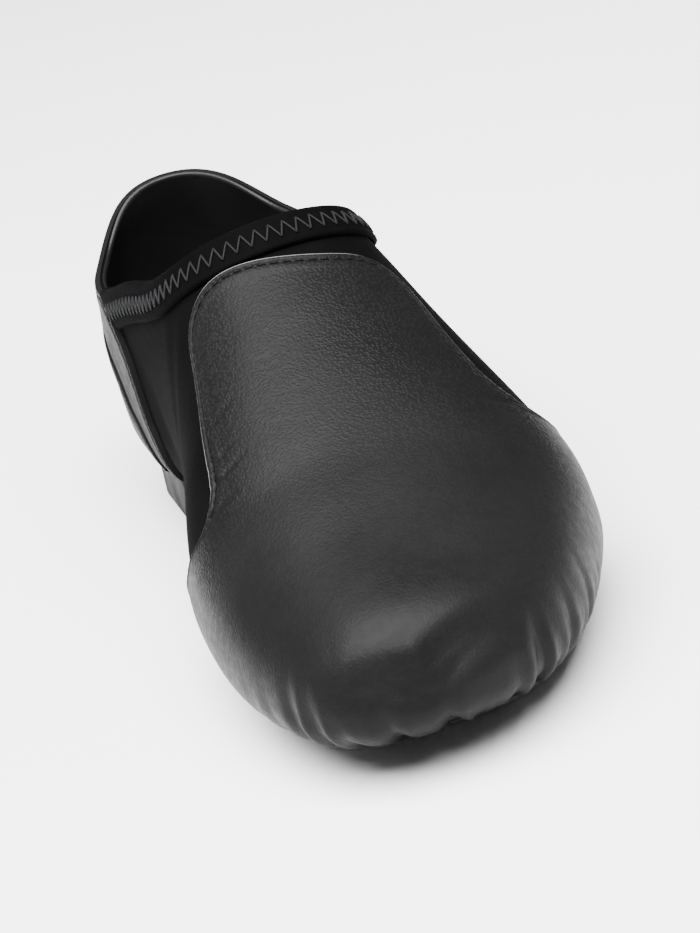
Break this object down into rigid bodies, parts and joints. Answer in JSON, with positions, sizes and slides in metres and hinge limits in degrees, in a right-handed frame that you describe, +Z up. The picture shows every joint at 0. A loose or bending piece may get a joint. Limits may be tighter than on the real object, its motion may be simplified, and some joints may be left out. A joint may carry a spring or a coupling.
{
  "type": "jazz shoe",
  "caption": "Slip-on jazz dance shoe with a split sole, a leather toe piece and heel counter over a stretch upper, and a low heel.",
  "frame": {"origin": "centre of the bounding box's bottom face, on the floor that the shoe stands on", "axes": "+Z up; -Y towards the toe; -X towards the medial side; +X towards the lateral side"},
  "size_m": [0.097, 0.2452, 0.0912],
  "materials": {
    "stretch_fabric": "matte stretch fabric bonded to thin foam",
    "leather": "fine grain, semi-gloss",
    "elastic_tape": "woven elastic, matte",
    "mesh_panel": "perforated, matte",
    "suede": "napped suede, matte",
    "rubber": "moulded, matte",
    "lining": "smooth lining"
  },
  "bodies": {
    "root": {"upper": "stretch_fabric", "vamp": "leather", "heel_cup": "leather", "counter_band": "leather", "collar_binding": "elastic_tape", "arch_panel": "mesh_panel", "forefoot_sole": "suede", "heel_block": "rubber", "insole": "lining"}
  },
  "joints": []
}
